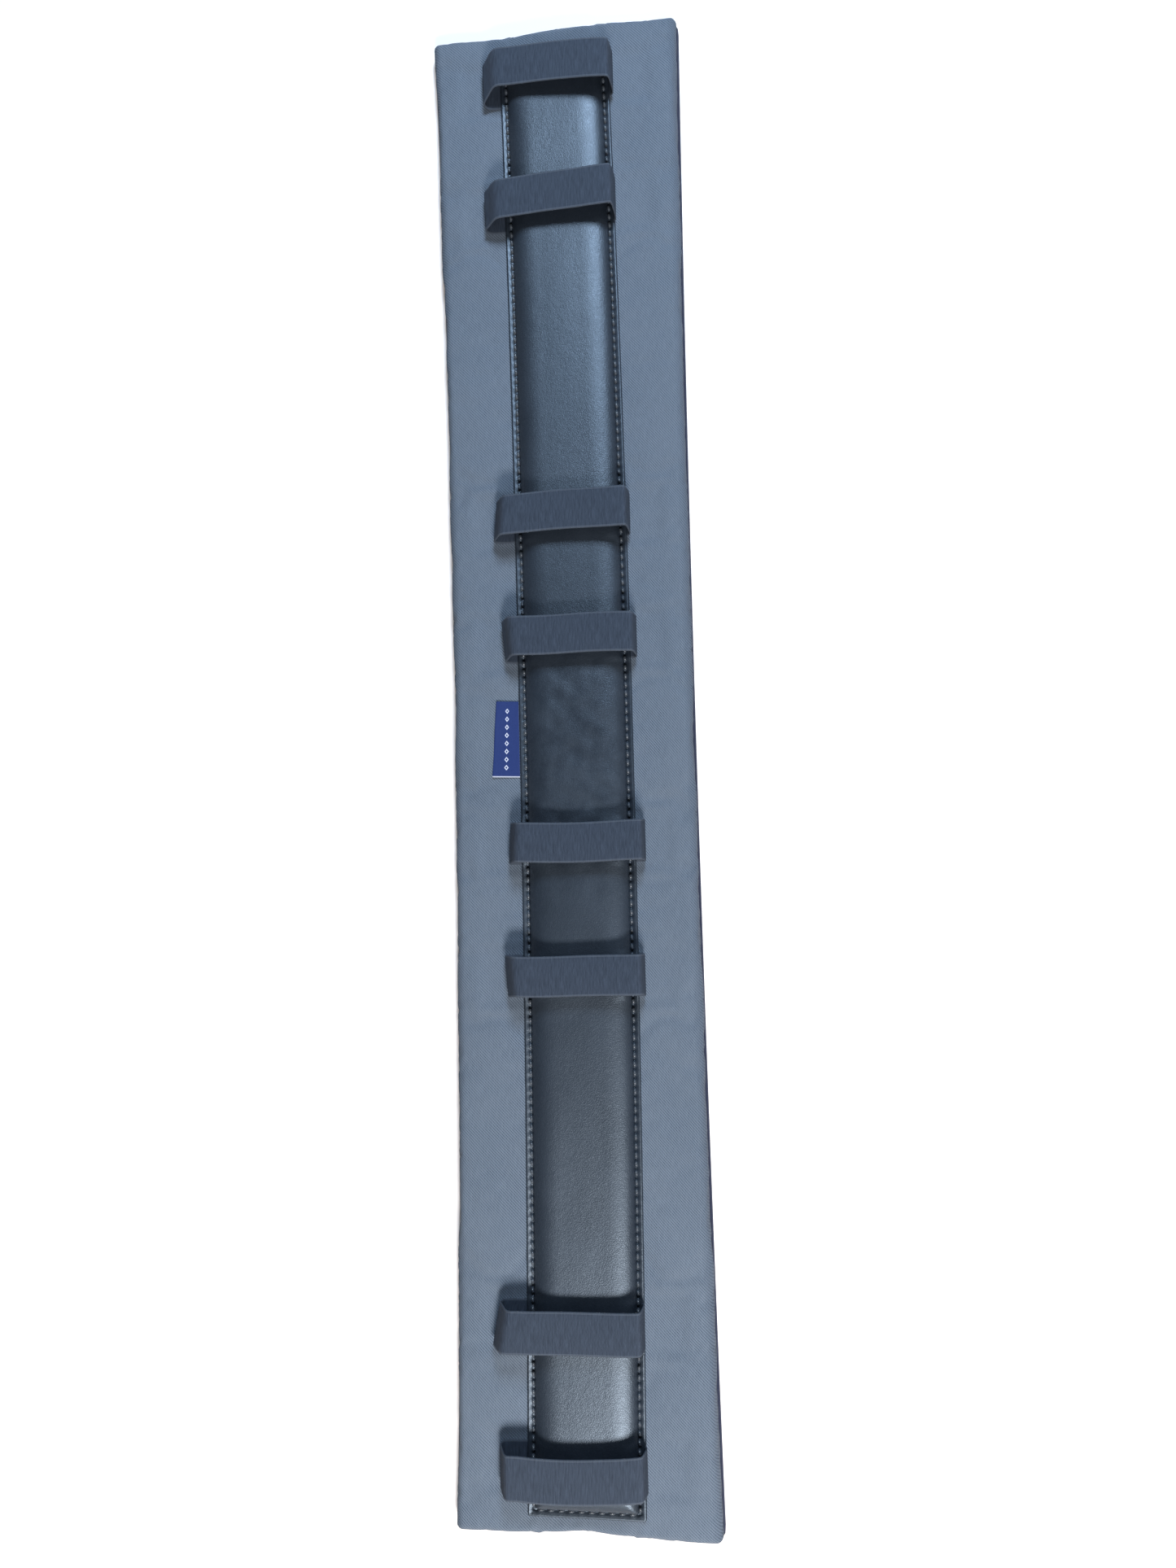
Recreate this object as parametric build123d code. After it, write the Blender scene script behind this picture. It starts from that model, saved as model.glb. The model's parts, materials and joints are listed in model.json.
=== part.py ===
"""Saddle girth pad: a long foam pad in a twill cover, with a padded leather channel sewn
down its middle and eight elastic keepers that hold a girth strap against the channel.

Millimetres. +Y runs along the pad, +X across it, +Z away from the horse. The origin is
the middle of the underside. The pad is soft and bends along its whole length, so every
full-length layer is cut into seven bays that hinge half way between neighbouring keepers.
Bays and keepers are numbered from the +Y end.
"""

import os
from math import radians, tan

from build123d import *

# Pad
PAD_LENGTH = 930.0
PAD_WIDTH = 160.0
LINING_THICK = 1.2
FOAM_THICK = 10.0
COVER_THICK = 0.8
LINING_LIP = 0.8  # how far the lining shows outside the cover
CORNER_RADIUS = 6.0  # of the cover, seen from above
EDGE_RADIUS = 5.0  # of the cover's top edges
FOAM_CHAMFER = 2.5  # the foam's top edges are trimmed to fit the cover's rounding
LEFT_DRAW_IN = 7.0  # the pad is hand sewn: half way along, its left side is drawn in this far
RIGHT_DRAW_IN = 3.0
PAD_TOP = LINING_THICK + FOAM_THICK + COVER_THICK

# Leather channel
CHANNEL_WIDTH = 70.0
CHANNEL_LENGTH = 904.0
LEATHER_THICK = 1.3
FLANGE_THICK = 2.2  # the leather is folded under along its edges
FLANGE_WIDTH = 7.0
END_FLANGE = 9.0
CROWN_HEIGHT = 8.0  # above the cover
CROWN_TAPER = 32.0  # slope of the channel's sides from upright, degrees
CROWN_CORNER = 6.0
CROWN_EDGE = 4.5
FLANGE_CORNER = 1.5
CHANNEL_BOW = 5.0  # half way along, the channel lies this far towards +X

# Thread
THREAD_WIDTH = 0.9
THREAD_HEIGHT = 0.45
THREAD_INSET = 3.5  # from the leather's edge along its sides
THREAD_END_INSET = 4.5  # and across its ends
THREAD_CORNER_GAP = 1.8  # left open where two rows meet

# Elastic keepers
TAPE_WIDTH = 25.0
TAPE_THICK = 1.1
KEEPER_Y = (426.0, 343.0, 142.0, 66.0, -58.0, -138.0, -341.0, -422.0)
KEEPER_TOP = PAD_TOP + 17.0
KEEPER_LEFT = -49.5  # centre of the tape at its widest, on the slack side
KEEPER_RIGHT = 39.5  # and on the tight side
KEEPER_LEFT_TUCK = 2.0  # how far the foot stands in from the widest place
KEEPER_RIGHT_TUCK = 0.7
KEEPER_BELLY = 8.0  # height of the slack side's widest place above its foot
KEEPER_SHOULDER = 7.0  # how far the slack side slopes in from there to the top
KEEPER_CHAMFER = 5.0  # at the top of the tight side
KEEPER_BENDS = (5.0, 6.0, 4.0, 4.0)  # radii from the left foot over to the right
KEEPER_FOOT_GAP = 0.3  # between the sewn tape and the foot of the free tape
KEEPER_TILT = 25.0  # largest lean either way, degrees
KEEPER_TILT_MARGIN = 1.0  # extra slope of the pointed feet, degrees

# Woven label
LABEL_LENGTH = 47.5
LABEL_REACH = 15.5  # past the leather's edge
LABEL_THICK = 0.6
LABEL_Y = 6.0
LABEL_TURN = -4.0  # it is sewn in slightly askew, degrees
LABEL_GAP = 0.8  # between the leather's edge and the label's hinged edge
LABEL_LIFT = 0.05
LABEL_TRIM = 8.0  # cut off along the leather's edge, where the askew label goes under

# Bends: the neutral line is the cover, which doesn't stretch
WRAP = 25.0  # ends towards the horse, degrees at each bend
BACK_BEND = 10.0  # ends away from the horse, degrees at each bend
BEND_GAP = 0.25  # each side of the bend line, on the neutral line
BEND_MARGIN = 0.7  # extra opening of each cut face, degrees

OUTSIDE = 200.0  # reach of a cutting block past the pad
CUT_CLEAR = 1.0  # how far a cutting block starts below the surface that it cuts


def bow(y):
    """How far the channel and what is sewn to it lie towards +X at y."""
    return CHANNEL_BOW * (1 - (2 * y / PAD_LENGTH) ** 2)


def bend_lines():
    """Where the pad bends: half way between neighbouring keepers, but not across the label."""
    middles = [(a + b) / 2 for a, b in zip(KEEPER_Y, KEEPER_Y[1:])]
    return [y for y in middles if abs(y - LABEL_Y) > LABEL_LENGTH]


def bowed_line(x, half_length, middle_bow):
    """Points from the -Y end to the +Y end, one at each bend, along a line at x that bows towards +X."""
    stops = [-half_length, *reversed(bend_lines()), half_length]
    return [(x + middle_bow * (1 - (y / half_length) ** 2), y) for y in stops]


def long_face(width, length, low, corner, left_bow, right_bow):
    """A long outline whose sides bow towards +X. They are straight between the bends."""
    right = bowed_line(width / 2, length / 2, right_bow)
    left = bowed_line(-width / 2, length / 2, left_bow)
    face = make_face(Polyline(*right, *reversed(left), close=True))
    corners = [vertex for vertex in face.vertices() if abs(vertex.Y) > length / 2 - corner]
    return Plane.XY.offset(low) * fillet(corners, corner)


def top_edges(solid):
    return solid.faces().sort_by(Axis.Z)[-1].edges()


def pad_slab(inset, low, high):
    """A layer of the pad, smaller than the lining by inset all round."""
    face = long_face(PAD_WIDTH - 2 * inset, PAD_LENGTH - 2 * inset, low, CORNER_RADIUS + LINING_LIP - inset,
                     LEFT_DRAW_IN, -RIGHT_DRAW_IN)
    return extrude(face, high - low)


def channel_face(width, length, corner):
    """An outline on the cover that follows the channel's bow."""
    end = bow(length / 2)
    return Pos(end, 0) * long_face(width, length, PAD_TOP, corner, CHANNEL_BOW - end, CHANNEL_BOW - end)


def loaf(inset):
    """The raised middle of the channel, from the cover up, smaller by inset all round."""
    width = CHANNEL_WIDTH - 2 * FLANGE_WIDTH - 2 * inset
    length = CHANNEL_LENGTH - 2 * END_FLANGE - 2 * inset
    body = extrude(channel_face(width, length, CROWN_CORNER - inset), CROWN_HEIGHT - inset, taper=CROWN_TAPER)
    return fillet(top_edges(body), CROWN_EDGE - inset)


def keeper_base(y):
    """The sewn part of a keeper, flat under the leather from one side to the other."""
    length = KEEPER_RIGHT - KEEPER_LEFT + TAPE_THICK
    centre = (bow(y) + (KEEPER_LEFT + KEEPER_RIGHT) / 2, y, PAD_TOP + TAPE_THICK / 2)
    return Pos(*centre) * Box(length, TAPE_WIDTH, TAPE_THICK)


def keeper_loop(y):
    """The free part of a keeper: an arch of tape whose feet are pointed so that it can lean."""
    foot = PAD_TOP + TAPE_THICK + KEEPER_FOOT_GAP
    top = KEEPER_TOP - TAPE_THICK / 2
    points = (
        (KEEPER_LEFT + KEEPER_LEFT_TUCK, foot),
        (KEEPER_LEFT, foot + KEEPER_BELLY),
        (KEEPER_LEFT + KEEPER_SHOULDER, top),
        (KEEPER_RIGHT - KEEPER_CHAMFER, top),
        (KEEPER_RIGHT, top - KEEPER_CHAMFER),
        (KEEPER_RIGHT - KEEPER_RIGHT_TUCK, foot),
    )
    section = trace(FilletPolyline(*points, radius=KEEPER_BENDS), line_width=TAPE_THICK)
    half = TAPE_WIDTH / 2
    arch = extrude(Plane.XZ.offset(-y) * section, half, both=True)
    rise = half * tan(radians(KEEPER_TILT + KEEPER_TILT_MARGIN))
    below = foot - CUT_CLEAR
    for side in (-1, 1):
        edge = y + side * half
        corner = Polyline((y, foot), (edge, foot + rise), (edge, below), (y, below), close=True)
        arch -= extrude(make_face(Plane.YZ * corner), OUTSIDE / 2, both=True)
    return Pos(bow(y)) * arch


def woven_label():
    """The free part of the label, from the leather's edge outwards."""
    edge = bow(LABEL_Y) - CHANNEL_WIDTH / 2 - LABEL_GAP
    centre = edge + (LABEL_TRIM - LABEL_REACH) / 2
    flap = Pos(centre, LABEL_Y) * Rot(0, 0, LABEL_TURN) * Rectangle(LABEL_REACH + LABEL_TRIM, LABEL_LENGTH)
    keep = Pos(edge - OUTSIDE / 2, 0, 0) * Rectangle(OUTSIDE, OUTSIDE)
    return extrude(Plane.XY.offset(PAD_TOP + LABEL_LIFT) * (flap & keep), LABEL_THICK)


def thread_rows():
    """Four rows of thread on the channel's flange: one along each side and one across each end."""
    x = CHANNEL_WIDTH / 2 - THREAD_INSET
    y = CHANNEL_LENGTH / 2 - THREAD_END_INSET
    side_end = y - THREAD_CORNER_GAP / 2
    end_length = 2 * x - THREAD_CORNER_GAP
    rows = []
    for side in (-1, 1):
        line = Polyline(*bowed_line(side * x + bow(side_end), side_end, CHANNEL_BOW - bow(side_end)))
        rows.append(trace(line, line_width=THREAD_WIDTH))
    for end in (-1, 1):
        rows.append(Pos(bow(y), end * y) * Rectangle(end_length, THREAD_WIDTH))
    return [extrude(Plane.XY.offset(PAD_TOP + FLANGE_THICK) * row, THREAD_HEIGHT) for row in rows]


def full_length_layers():
    """The layers that run the whole length of the pad, as lists of solids by name."""
    lining = pad_slab(0, 0, LINING_THICK)
    foam = pad_slab(LINING_LIP + COVER_THICK, LINING_THICK, PAD_TOP - COVER_THICK)
    foam = chamfer(top_edges(foam), FOAM_CHAMFER)
    cover = pad_slab(LINING_LIP, LINING_THICK, PAD_TOP)
    cover = fillet(top_edges(cover), EDGE_RADIUS)
    filler = loaf(LEATHER_THICK)
    flange = extrude(channel_face(CHANNEL_WIDTH, CHANNEL_LENGTH, FLANGE_CORNER), FLANGE_THICK)
    leather = flange + loaf(0) - filler
    for y in KEEPER_Y:
        leather -= keeper_base(y)
        filler -= keeper_base(y)
    return {
        "underside_lining": [lining],
        "foam_core": [foam],
        "top_cover": [cover - foam],
        "leather_channel": [leather],
        "channel_filler": [filler],
        "channel_thread": thread_rows(),
    }


def bay_block(high_y, low_y):
    """The space of one bay. Its end faces are notched below and above the bend lines."""
    below = tan(radians(WRAP / 2 + BEND_MARGIN)) * (PAD_TOP + CUT_CLEAR)
    above = tan(radians(BACK_BEND / 2 + BEND_MARGIN)) * OUTSIDE
    outline = Polyline(
        (low_y + BEND_GAP + below, -CUT_CLEAR),
        (low_y + BEND_GAP, PAD_TOP),
        (low_y + BEND_GAP + above, PAD_TOP + OUTSIDE),
        (high_y - BEND_GAP - above, PAD_TOP + OUTSIDE),
        (high_y - BEND_GAP, PAD_TOP),
        (high_y - BEND_GAP - below, -CUT_CLEAR),
        close=True,
    )
    return extrude(make_face(Plane.YZ * outline), PAD_WIDTH, both=True)


def build():
    nodes = {}
    past_the_end = PAD_LENGTH / 2 + OUTSIDE
    edges = [past_the_end, *bend_lines(), -past_the_end]
    layers = full_length_layers()
    for number, (high_y, low_y) in enumerate(zip(edges, edges[1:]), start=1):
        block = bay_block(high_y, low_y)
        for name, solids in layers.items():
            pieces = [piece for solid in solids for piece in (solid & block).solids()]
            nodes[f"{name}_{number}"] = Compound(children=pieces)
    for number, y in enumerate(KEEPER_Y, start=1):
        nodes[f"keeper_base_{number}"] = keeper_base(y)
        nodes[f"keeper_loop_{number}"] = keeper_loop(y)
    nodes["woven_label"] = woven_label()
    os.makedirs("parts", exist_ok=True)
    for name, shape in nodes.items():
        export_step(shape, f"parts/{name}.step")


build()
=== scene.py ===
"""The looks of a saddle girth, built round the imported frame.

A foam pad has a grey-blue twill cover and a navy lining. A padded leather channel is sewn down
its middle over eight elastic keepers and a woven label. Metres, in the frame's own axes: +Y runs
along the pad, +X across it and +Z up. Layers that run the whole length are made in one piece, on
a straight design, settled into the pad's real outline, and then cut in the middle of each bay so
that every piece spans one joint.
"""

import json
from math import pi, radians, tan

import bmesh
import bpy
import numpy as np
from mathutils import Euler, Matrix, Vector


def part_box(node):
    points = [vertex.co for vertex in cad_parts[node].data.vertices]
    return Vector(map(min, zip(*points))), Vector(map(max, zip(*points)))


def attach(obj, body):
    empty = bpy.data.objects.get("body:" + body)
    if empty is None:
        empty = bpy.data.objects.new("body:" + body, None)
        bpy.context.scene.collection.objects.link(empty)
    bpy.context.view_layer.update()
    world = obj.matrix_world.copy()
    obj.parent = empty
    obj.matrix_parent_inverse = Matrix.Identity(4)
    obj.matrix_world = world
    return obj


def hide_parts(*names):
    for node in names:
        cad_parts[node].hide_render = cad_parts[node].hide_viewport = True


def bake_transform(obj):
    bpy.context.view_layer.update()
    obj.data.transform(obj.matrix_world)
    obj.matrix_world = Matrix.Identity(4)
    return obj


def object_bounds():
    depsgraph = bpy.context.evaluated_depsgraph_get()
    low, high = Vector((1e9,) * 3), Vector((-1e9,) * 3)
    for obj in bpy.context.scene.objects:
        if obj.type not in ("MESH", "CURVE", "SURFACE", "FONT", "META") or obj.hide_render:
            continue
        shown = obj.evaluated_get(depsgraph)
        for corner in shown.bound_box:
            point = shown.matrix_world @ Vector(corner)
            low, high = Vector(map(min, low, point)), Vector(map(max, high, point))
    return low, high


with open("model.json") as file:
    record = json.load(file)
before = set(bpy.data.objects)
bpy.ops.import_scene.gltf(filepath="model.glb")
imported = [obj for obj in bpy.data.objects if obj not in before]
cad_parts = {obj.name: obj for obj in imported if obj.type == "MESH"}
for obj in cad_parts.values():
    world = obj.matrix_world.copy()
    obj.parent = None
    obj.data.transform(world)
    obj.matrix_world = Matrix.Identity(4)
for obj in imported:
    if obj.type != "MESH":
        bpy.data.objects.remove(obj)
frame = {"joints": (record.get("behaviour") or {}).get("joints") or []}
cad_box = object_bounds()
chance = np.random.default_rng(11)
MM = 0.001
WAVES_IN_A_SET = 10  # random waves added up to make one uneven surface

# ---------------------------------------------------------------- places, from the frame

HALF_WIDTH = cad_box[1].x
HALF_LENGTH = cad_box[1].y
LINING_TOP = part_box("underside_lining_4")[1].z
PAD_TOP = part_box("top_cover_4")[1].z
FLANGE_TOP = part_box("channel_thread_4")[0].z
CROWN_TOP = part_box("leather_channel_4")[1].z
CHANNEL_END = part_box("leather_channel_1")[1].y
CHANNEL_HALF = 35 * MM
CHANNEL_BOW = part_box("leather_channel_4")[1].x - CHANNEL_HALF
LEFT_DRAW_IN = 7 * MM  # half way along, the pad's sides are drawn in this far
RIGHT_DRAW_IN = 3 * MM
SLACK_HALF = 75 * MM  # the leather lies slack and puckered this far each way from the pad's middle

KEEPERS = {}
for number in range(1, 9):
    low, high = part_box(f"keeper_base_{number}")
    KEEPERS[number] = (low.y + high.y) / 2

tape_low, tape_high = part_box("keeper_base_1")
TAPE_HALF = (tape_high.y - tape_low.y) / 2
LABEL_LOW, LABEL_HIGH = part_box("woven_label")
LABEL_Y = (LABEL_LOW.y + LABEL_HIGH.y) / 2
LABEL_HALF = (LABEL_HIGH.y - LABEL_LOW.y) / 2

JOINTS = {joint["name"]: joint for joint in frame["joints"]}
BENDS = [JOINTS[name] for name in sorted(JOINTS) if name.startswith("bend")]
BEND_Y = [bend["pos_m"][1] for bend in BENDS]
CUTS = [(a + b) / 2 for a, b in zip(BEND_Y, BEND_Y[1:])]


def settle(x, y):
    """x of the straight design moved to where the hand-sewn pad lies."""
    sides = (-HALF_WIDTH, -CHANNEL_HALF, CHANNEL_HALF, HALF_WIDTH)
    shifts = (LEFT_DRAW_IN, CHANNEL_BOW, CHANNEL_BOW, -RIGHT_DRAW_IN)
    return x + np.interp(x, sides, shifts) * np.clip(1 - (y / HALF_LENGTH) ** 2, 0, 1)


def smoothstep(value, low, high):
    """0 below low, 1 above high, and smooth between."""
    t = np.clip((value - low) / (high - low), 0, 1)
    return t * t * (3 - 2 * t)


def ripples(x, y, size):
    """Smooth random waves about size across, from about -1 to 1."""
    total = np.zeros_like(x)
    for _ in range(WAVES_IN_A_SET):
        angle, phase = chance.uniform(0, pi), chance.uniform(0, 2 * pi)
        pull = 2 * pi / (size * chance.uniform(0.7, 1.5))
        total += np.sin(pull * (x * np.cos(angle) + y * np.sin(angle)) + phase)
    return total / np.sqrt(WAVES_IN_A_SET)


# ---------------------------------------------------------------- materials


class Shading:
    """A procedural material: a Principled surface and the nodes that feed it."""

    def __init__(self, name, **surface):
        self.material = bpy.data.materials.new(name)
        self.material.use_nodes = True
        self.tree = self.material.node_tree
        self.surface = self.tree.nodes["Principled BSDF"]
        for socket, value in surface.items():
            self.feed(self.surface.inputs[socket.replace("_", " ")], value)

    def feed(self, socket, value):
        """Links another node's output to a socket, or sets the socket to a plain value."""
        if isinstance(value, bpy.types.NodeSocket):
            self.tree.links.new(value, socket)
        else:
            socket.default_value = value

    def node(self, kind, values=(), **settings):
        """A new node. Values feed its sockets and settings are its own options."""
        made = self.tree.nodes.new("ShaderNode" + kind)
        for name, value in settings.items():
            setattr(made, name, value)
        for socket, value in dict(values).items():
            self.feed(made.inputs[socket], value)
        return made

    def math(self, operation, a, b=0.0, c=0.0):
        return self.node("Math", {0: a, 1: b, 2: c}, operation=operation).outputs[0]

    def wave(self, value):
        """Round ridges, one for each whole number that value passes."""
        return self.math("ABSOLUTE", self.math("SINE", self.math("MULTIPLY", value, pi)))

    def uv(self, per_u, per_v=None):
        """The cloth's own coordinates, counted in cells of these sizes in metres."""
        place = self.node("UVMap", uv_map="cloth").outputs[0]
        scale = (1 / per_u, 1 / (per_v or per_u), 1.0)
        return self.node("VectorMath", {0: place, 1: scale}, operation="MULTIPLY").outputs[0]

    def noise(self, per_u, per_v=None, detail=3.0, roughness=0.55):
        """Noise with spots of about these sizes along u and v, in metres."""
        values = {"Vector": self.uv(per_u, per_v), "Scale": 1.0, "Detail": detail, "Roughness": roughness}
        return self.node("TexNoise", values).outputs["Fac"]

    def mix(self, share, a, b):
        """Colour a where share is 0 and colour b where it is 1."""
        return self.node("Mix", {0: share, 6: a, 7: b}, data_type="RGBA").outputs[2]

    def span(self, value, low, high, to_low=0.0, to_high=1.0):
        """Value moved from the range low to high into the range to_low to to_high, and held there."""
        values = {"Value": value, "From Min": low, "From Max": high, "To Min": to_low, "To Max": to_high}
        return self.node("MapRange", values).outputs[0]

    def bump(self, *layers):
        """Stacks bumps, each (height, strength, depth in metres), on the surface's normal."""
        normal = None
        for height, strength, depth in layers:
            values = {"Height": height, "Strength": strength, "Distance": depth}
            if normal:
                values["Normal"] = normal
            normal = self.node("Bump", values).outputs[0]
        self.feed(self.surface.inputs["Normal"], normal)

    def colour(self, socket):
        self.feed(self.surface.inputs["Base Color"], socket)

    def roughness(self, socket):
        self.feed(self.surface.inputs["Roughness"], socket)


def rounded(shade, share):
    """A yarn's round back: 1 in the middle of its cell and 0 at the sides."""
    off = shade.math("MULTIPLY_ADD", share, 2.0, -1.0)
    return shade.math("SUBTRACT", 1.0, shade.math("MULTIPLY", off, off))


def weave(shade, yarn, repeat, floats):
    """Which yarn is on top, and the weave's height: warp floats over so many yarns in each repeat."""
    cell = shade.node("SeparateXYZ", {0: shade.uv(yarn)})
    across, along = cell.outputs[0], cell.outputs[1]
    steps = shade.math("ADD", shade.math("FLOOR", across), shade.math("FLOOR", along))
    turn = shade.math("FLOORED_MODULO", steps, repeat)
    warp = shade.math("LESS_THAN", turn, floats - 0.5)
    over_warp = rounded(shade, shade.math("FRACT", across))
    over_weft = rounded(shade, shade.math("FRACT", along))
    height = shade.math("MULTIPLY_ADD", warp, shade.math("SUBTRACT", over_warp, over_weft), over_weft)
    return warp, height


def twill():
    """Grey-blue twill with pale slubs and faded places, and painted shade where it turns over the long
    sides.
    """
    weft_colour = (0.036, 0.050, 0.072, 1)
    warp_colour = (0.128, 0.160, 0.206, 1)
    faded = (0.145, 0.168, 0.205, 1)
    pale_slub = (0.176, 0.212, 0.260, 1)
    painted_edge_shade = (0.030, 0.042, 0.066, 1)
    shade = Shading("twill_cover", Roughness=0.88, Specular_IOR_Level=0.3)
    warp, height = weave(shade, 0.62 * MM, 3.0, 2.0)
    yarns = shade.mix(warp, weft_colour, warp_colour)
    fade = shade.span(shade.noise(46 * MM, 60 * MM, 4.0), 0.3, 0.7)
    worn = shade.mix(shade.math("MULTIPLY", fade, 0.25), yarns, faded)
    slub = shade.span(shade.noise(0.7 * MM, 7 * MM, 2.0), 0.35, 0.75)
    cloth = shade.mix(shade.math("MULTIPLY", slub, 0.30), worn, pale_slub)
    across = shade.node("SeparateXYZ", {0: shade.uv(1.0)}).outputs[0]
    # Painted shade: the cover is darkened towards its long edges, where the cloth rounds over and turns away
    # from the lamps.
    turned = shade.span(shade.math("ABSOLUTE", across), HALF_WIDTH - 7 * MM, HALF_WIDTH + 1 * MM)
    shade.colour(shade.mix(shade.math("MULTIPLY", turned, 0.55), cloth, painted_edge_shade))
    shade.bump((shade.noise(9 * MM), 0.15, 1 * MM), (height, 0.7, 0.16 * MM), (slub, 0.3, 0.1 * MM))
    return shade.material


def knit():
    """Navy lining: rows of small knitted loops."""
    shade = Shading("navy_lining", Roughness=0.9, Sheen_Weight=0.2)
    cell = shade.node("SeparateXYZ", {0: shade.uv(1.3 * MM, 0.9 * MM)})
    wale, course = shade.wave(cell.outputs[0]), shade.wave(cell.outputs[1])
    loops = shade.math("MULTIPLY", wale, shade.math("MULTIPLY_ADD", course, 0.6, 0.4))
    fuzz = shade.noise(0.5 * MM, 0.8 * MM)
    tone = shade.math("MULTIPLY", shade.math("MULTIPLY_ADD", fuzz, 0.6, 0.5), loops)
    shade.colour(shade.mix(tone, (0.004, 0.006, 0.018, 1), (0.022, 0.028, 0.07, 1)))
    shade.bump((shade.noise(22 * MM), 0.2, 1 * MM), (loops, 0.8, 0.3 * MM))
    return shade.material


def leather():
    """Dark satin leather: fine pores and wrinkles, rubbed spots, and shiny patches where it is slack."""
    dark = (0.009, 0.013, 0.020, 1)
    less_dark = (0.013, 0.018, 0.027, 1)
    rubbed = (0.028, 0.035, 0.047, 1)
    shade = Shading("channel_leather", Specular_IOR_Level=0.95, Specular_Tint=(0.72, 0.85, 1.0, 1))
    pores = shade.node("TexVoronoi", {"Vector": shade.uv(0.85 * MM, 1.1 * MM), "Scale": 1.0},
                       feature="DISTANCE_TO_EDGE").outputs[0]
    grain = shade.span(pores, 0.0, 0.22)
    wrinkles = shade.noise(2.0 * MM, 3.4 * MM, 4.0, 0.60)
    creases = shade.span(shade.noise(5 * MM, 14 * MM, 5.0, 0.62), 0.32, 0.68)
    cloudy = shade.span(shade.noise(30 * MM, 45 * MM, 4.0), 0.3, 0.7)
    along = shade.node("SeparateXYZ", {0: shade.uv(1.0)}).outputs[1]
    off_middle = shade.math("ABSOLUTE", along)
    slack = shade.span(off_middle, SLACK_HALF - 15 * MM, SLACK_HALF + 20 * MM, 1.0, 0.0)
    tone = shade.mix(cloudy, dark, less_dark)
    rub = shade.math("MULTIPLY", shade.span(shade.noise(1.6 * MM, 2.6 * MM, 5.0), 0.50, 0.75), 0.35)
    shade.colour(shade.mix(rub, tone, rubbed))
    patches = shade.math("MULTIPLY", shade.span(shade.noise(16 * MM, 12 * MM, 3.0), 0.42, 0.62), slack)
    uneven = shade.math("MULTIPLY_ADD", patches, -0.08, shade.math("MULTIPLY_ADD", cloudy, 0.06, 0.44))
    shade.roughness(shade.math("MULTIPLY_ADD", rub, -0.12, uneven))
    shade.bump((creases, 0.2, 0.10 * MM), (wrinkles, 0.5, 0.20 * MM), (grain, 0.4, 0.09 * MM))
    return shade.material


def elastic():
    """Dark elastic tape: fine ribs and uneven threads run across it, and its selvedges are paler."""
    dark = (0.010, 0.016, 0.028, 1)
    light = (0.048, 0.065, 0.097, 1)
    selvedge_colour = (0.085, 0.100, 0.125, 1)
    shade = Shading("keeper_elastic", Roughness=0.80, Specular_IOR_Level=0.35)
    cell = shade.node("SeparateXYZ", {0: shade.uv(0.62 * MM, 1.0)})
    ribs = shade.wave(cell.outputs[0])
    threads = shade.noise(0.8 * MM, 9.0 * MM, 3.0, 0.7)
    off_middle = shade.math("ABSOLUTE", cell.outputs[1])
    selvedge = shade.span(off_middle, TAPE_HALF - 1.0 * MM, TAPE_HALF - 0.7 * MM)
    tone = shade.math("MULTIPLY", shade.span(threads, 0.2, 0.8), shade.math("MULTIPLY_ADD", ribs, 0.5, 0.5))
    body = shade.mix(tone, dark, light)
    shade.colour(shade.mix(shade.math("MULTIPLY", selvedge, 0.40), body, selvedge_colour))
    shade.bump((threads, 0.25, 0.15 * MM), (ribs, 0.6, 0.18 * MM), (selvedge, 0.5, 0.12 * MM))
    return shade.material


def thread():
    """Dark thread, twisted from strands."""
    shade = Shading("seam_thread", Roughness=0.40, Specular_IOR_Level=0.6)
    twist = shade.node("SeparateXYZ", {0: shade.uv(1.0 * MM)})
    turns = shade.math("ADD", twist.outputs[0], shade.math("MULTIPLY", twist.outputs[1], 1.6))
    strands = shade.wave(turns)
    shade.colour(shade.mix(strands, (0.014, 0.018, 0.024, 1), (0.066, 0.078, 0.096, 1)))
    shade.bump((strands, 0.5, 0.12 * MM))
    return shade.material


def foam():
    """Grey closed-cell foam."""
    shade = Shading("closed_cell_foam", Roughness=0.95)
    cells = shade.node("TexVoronoi", {"Vector": shade.uv(1.1 * MM), "Scale": 1.0}).outputs["Distance"]
    shade.colour(shade.mix(shade.span(cells, 0.0, 0.7), (0.10, 0.10, 0.11, 1), (0.22, 0.22, 0.24, 1)))
    shade.bump((cells, 0.6, 0.3 * MM))
    return shade.material


def felt():
    """Grey pressed felt, with its fibres along the channel."""
    shade = Shading("pressed_felt", Roughness=0.97, Sheen_Weight=0.3)
    fibres = shade.noise(0.6 * MM, 3.0 * MM, 6.0, 0.7)
    shade.colour(shade.mix(fibres, (0.12, 0.12, 0.12, 1), (0.36, 0.35, 0.34, 1)))
    shade.bump((fibres, 0.7, 0.4 * MM))
    return shade.material


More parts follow.
